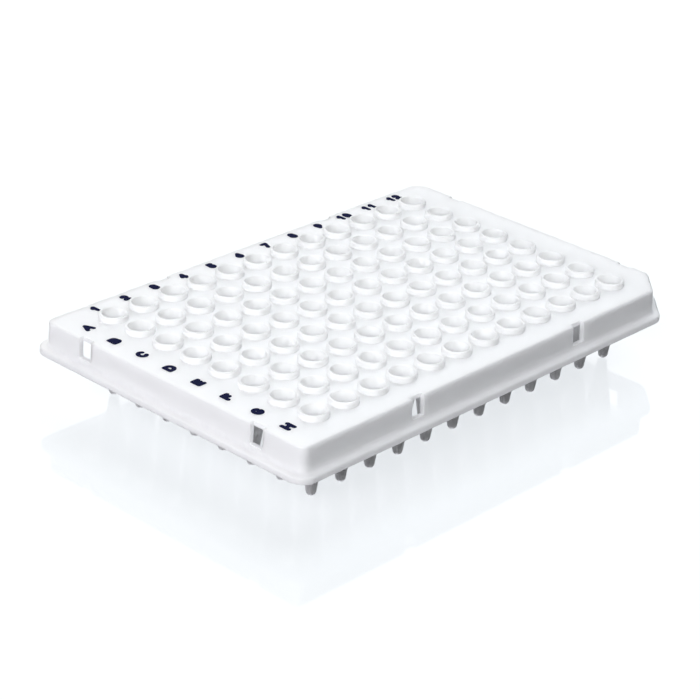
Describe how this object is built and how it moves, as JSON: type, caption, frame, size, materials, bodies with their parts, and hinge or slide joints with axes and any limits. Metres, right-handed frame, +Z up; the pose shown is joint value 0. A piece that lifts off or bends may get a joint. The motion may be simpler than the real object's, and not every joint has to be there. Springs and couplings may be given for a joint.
{
  "type": "well plate",
  "caption": "White moulded laboratory well plate with open conical tubes under a flat deck, a half-height skirt and one cut corner.",
  "frame": {"origin": "on the ground under the middle of the plate, which stands on its tube tips", "axes": "+X along the columns from 1 to 12, +Y from row H to row A, +Z up out of the wells"},
  "size_m": [0.1278, 0.0854, 0.0205],
  "materials": {
    "plate": "white moulded polypropylene, soft satin sheen"
  },
  "bodies": {
    "root": {"plate": "plate"}
  },
  "joints": []
}
